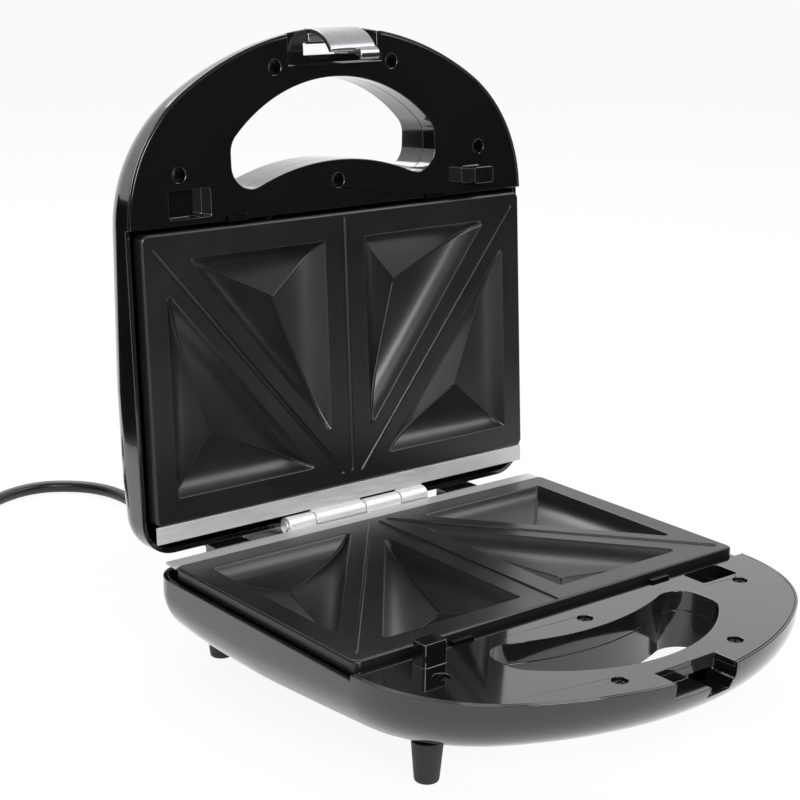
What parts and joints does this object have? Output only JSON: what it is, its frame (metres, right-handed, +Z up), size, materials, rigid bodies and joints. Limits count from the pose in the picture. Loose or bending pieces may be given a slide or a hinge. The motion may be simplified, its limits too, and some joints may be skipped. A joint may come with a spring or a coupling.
{
  "type": "sandwich toaster",
  "caption": "sandwich toaster with hinged casing halves, triangular pocket plates, a hook latch on the lid and a mains cord with a plug, drawn open",
  "frame": {"origin": "on the table surface, under the middle of the open toaster's box, without the cord", "axes": "X across the toaster, -Y towards the handle, +Z up; the hinge axis is along X"},
  "size_m": [0.2931, 0.5415, 0.2797],
  "materials": {
    "casing_black": "high-gloss moulded black phenolic-look plastic",
    "cover_black": "high-gloss moulded black plastic",
    "nonstick_black": "black non-stick coating on pressed aluminium, satin",
    "hinge_steel": "satin plated steel",
    "latch_silver": "satin silver paint on moulded plastic",
    "screw_steel": "dark zinc plated steel",
    "clip_steel": "spring steel",
    "element_steel": "oxidised steel sheath",
    "tray_aluminium": "plain rolled sheet",
    "foot_black": "moulded black plastic",
    "cord_pvc": "satin black PVC",
    "blade_brass": "nickel plated brass",
    "ceramic_white": "heat resistant moulding",
    "wire_sleeve": "silicone sleeved wire",
    "lens_red": "clear red polycarbonate",
    "lamp_glass": "neon lamp"
  },
  "bodies": {
    "base": {"base_shell": "casing_black", "base_cover": "cover_black", "lower_plate": "nonstick_black", "base_hinge_leaf": "hinge_steel", "hinge_pin": "hinge_steel", "base_cover_screws": "screw_steel", "lower_plate_screws": "screw_steel", "base_hinge_screws": "screw_steel", "clamp_screws": "screw_steel", "lower_plate_clips": "clip_steel", "lower_element": "element_steel", "lower_heat_shield": "tray_aluminium", "front_feet": "foot_black", "rear_feet": "foot_black", "power_cord": "cord_pvc", "cord_coil": "cord_pvc", "strain_relief": "cord_pvc", "plug_body": "cord_pvc", "plug_blades": "blade_brass", "terminal_block": "ceramic_white", "cord_clamp": "ceramic_white", "thermostat": "ceramic_white", "thermal_fuse": "ceramic_white", "base_wiring": "wire_sleeve"},
    "lid": {"lid_shell": "casing_black", "lid_cover": "cover_black", "upper_plate": "nonstick_black", "upper_element": "element_steel", "upper_heat_shield": "tray_aluminium", "lid_wiring": "wire_sleeve", "indicator_lenses": "lens_red", "indicator_lamps": "lamp_glass", "lid_hinge_leaf": "hinge_steel", "lid_cover_screws": "screw_steel", "upper_plate_screws": "screw_steel", "lid_hinge_screws": "screw_steel", "upper_plate_clips": "clip_steel", "latch_pin": "hinge_steel"},
    "latch": {"latch": "latch_silver"}
  },
  "joints": [
    {"name": "lid_hinge", "type": "hinge", "parent": "base", "child": "lid", "pos_m": [0, 0.09406, 0.05], "axis": [1, 0, 0], "range_deg": [0, 94]},
    {"name": "latch_pivot", "type": "hinge", "parent": "lid", "child": "latch", "pos_m": [0, 0.1188, 0.27482], "axis": [-1, 0, 0], "range_deg": [0, 25]}
  ]
}
